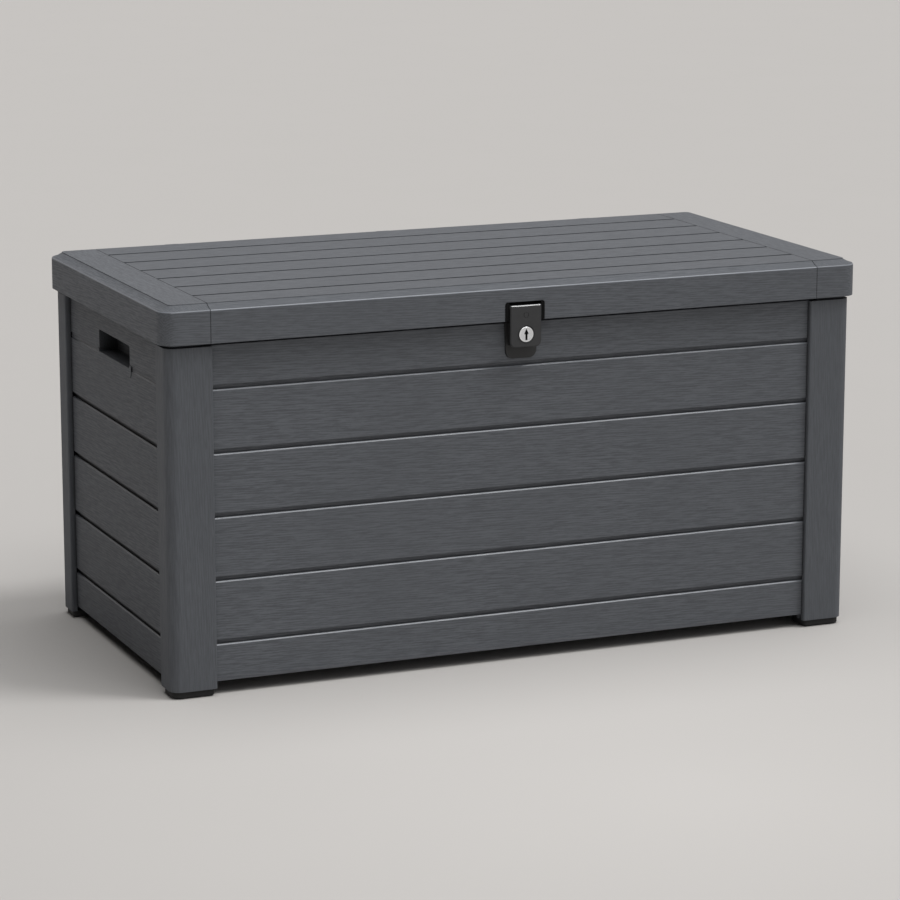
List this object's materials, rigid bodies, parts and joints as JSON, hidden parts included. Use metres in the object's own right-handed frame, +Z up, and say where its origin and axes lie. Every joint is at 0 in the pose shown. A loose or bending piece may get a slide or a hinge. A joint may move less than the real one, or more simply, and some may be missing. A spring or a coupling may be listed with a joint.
{
  "type": "outdoor storage box",
  "caption": "Lidded outdoor storage box in grey wood-grain resin, with corner posts, board walls, hand grips and a key lock on a swinging flap.",
  "frame": {"origin": "on the floor, under the middle of the box's footprint", "axes": "+X to the right along the long side, +Y to the back, +Z up; the lock faces -Y"},
  "size_m": [1.25, 0.6365, 0.645],
  "materials": {
    "grey_resin": "satin",
    "black_resin": "satin",
    "black_rubber": "matte",
    "zinc_steel": "satin",
    "lock_chrome": "satin"
  },
  "bodies": {
    "box": {"floor_panel": "grey_resin", "front_panel": "grey_resin", "rear_panel": "grey_resin", "left_side_panel": "grey_resin", "right_side_panel": "grey_resin", "corner_post_front_left": "grey_resin", "corner_post_front_right": "grey_resin", "corner_post_rear_left": "grey_resin", "corner_post_rear_right": "grey_resin", "foot_front_left": "black_rubber", "foot_front_right": "black_rubber", "foot_rear_left": "black_rubber", "foot_rear_right": "black_rubber", "wall_screws": "zinc_steel", "hinge_pins": "zinc_steel", "lock_catch": "black_resin", "lock_catch_screws": "zinc_steel"},
    "lid": {"lid_centre": "grey_resin", "lid_end_left": "grey_resin", "lid_end_right": "grey_resin", "lid_tube_front": "zinc_steel", "lid_tube_rear": "zinc_steel", "lid_seam_screws": "zinc_steel", "lock_housing": "black_resin", "lock_housing_screws": "zinc_steel", "lock_flap_pin": "zinc_steel"},
    "flap": {"lock_flap": "black_resin", "lock_body": "lock_chrome", "lock_nut": "zinc_steel"},
    "plug": {"lock_plug": "lock_chrome", "lock_cam": "zinc_steel"}
  },
  "joints": [
    {"name": "lid_hinge", "type": "hinge", "parent": "box", "child": "lid", "pos_m": [0, 0.306, 0.612], "axis": [-1, 0, 0], "range_deg": [0, 100]},
    {"name": "flap_hinge", "type": "hinge", "parent": "lid", "child": "flap", "pos_m": [0, -0.314, 0.6045], "axis": [-1, 0, 0], "range_deg": [0, 85]},
    {"name": "key_turn", "type": "hinge", "parent": "flap", "child": "plug", "pos_m": [0, -0.312, 0.5595], "axis": [0, 1, 0], "range_deg": [0, 90]}
  ]
}
